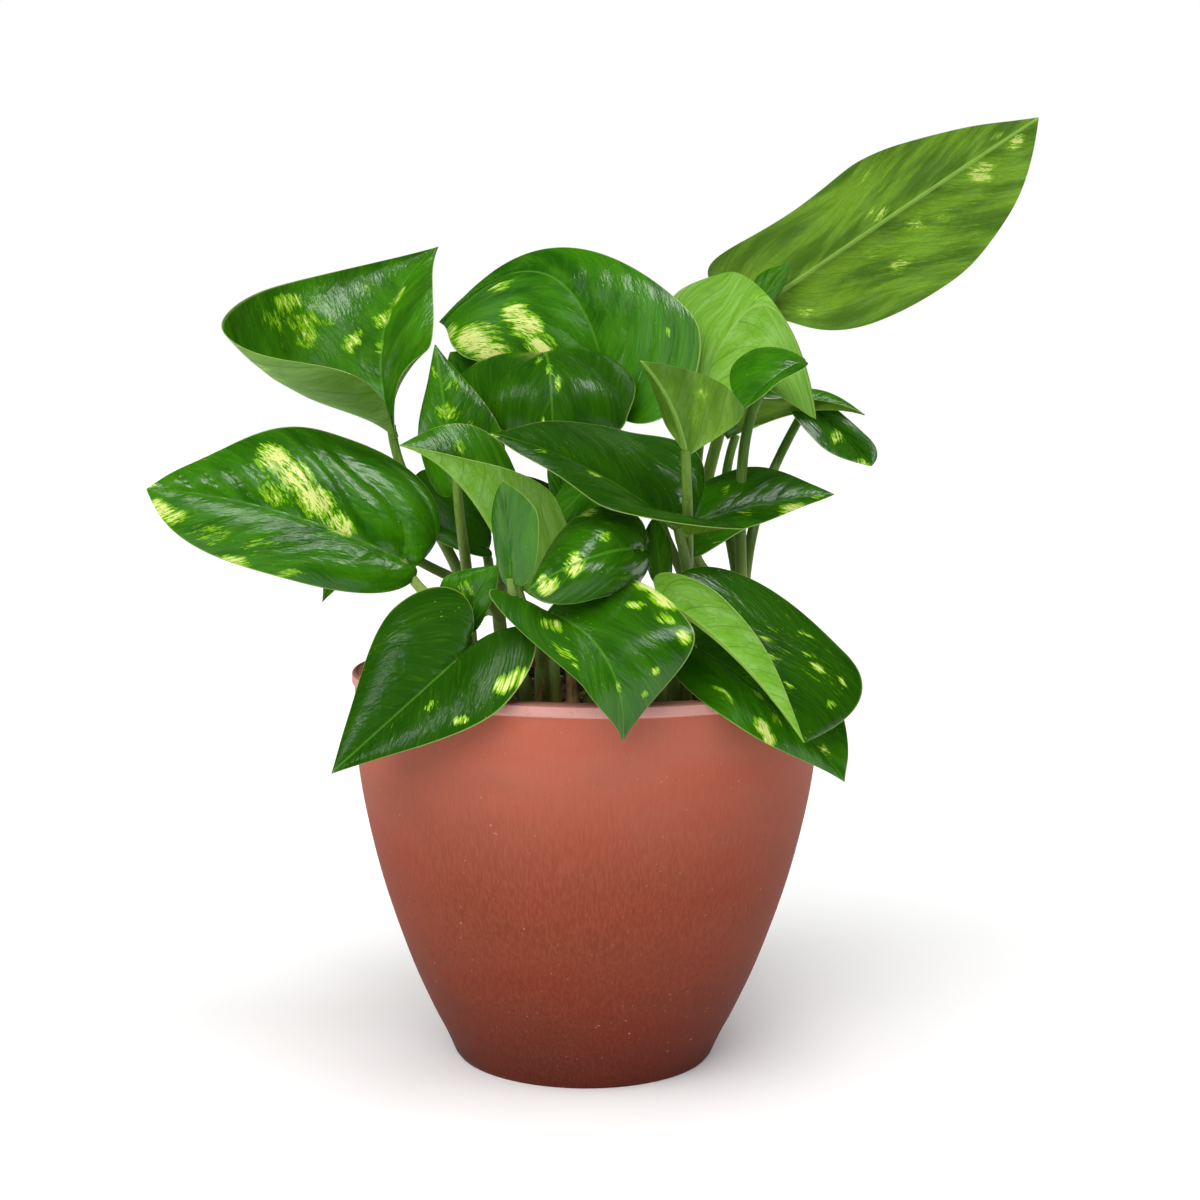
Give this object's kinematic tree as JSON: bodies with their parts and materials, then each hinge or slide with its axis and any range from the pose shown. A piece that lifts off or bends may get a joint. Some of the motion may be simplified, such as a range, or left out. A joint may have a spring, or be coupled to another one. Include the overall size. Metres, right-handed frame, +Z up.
{
  "type": "potted houseplant",
  "caption": "Potted pothos: heart-shaped variegated leaves on slender petioles rising from a tapered, rimmed round terracotta pot filled with potting mix.",
  "frame": {"origin": "middle of the pot's flat underside, at the level the pot stands on", "axes": "+Z up, -Y toward the front of the plant as pictured, +X to the viewer's right; metres"},
  "size_m": [0.3411, 0.2229, 0.3682],
  "materials": {
    "terracotta": "matte",
    "potting_mix": "rough",
    "foliage": "semi-gloss"
  },
  "bodies": {
    "root": {"pot": "terracotta", "potting_mix": "potting_mix", "vine_left_front": "foliage", "vine_left": "foliage", "vine_left_back": "foliage", "vine_front": "foliage", "vine_middle": "foliage", "vine_back": "foliage", "vine_right_front": "foliage", "vine_right_middle": "foliage", "vine_right": "foliage", "vine_right_back": "foliage"}
  },
  "joints": []
}
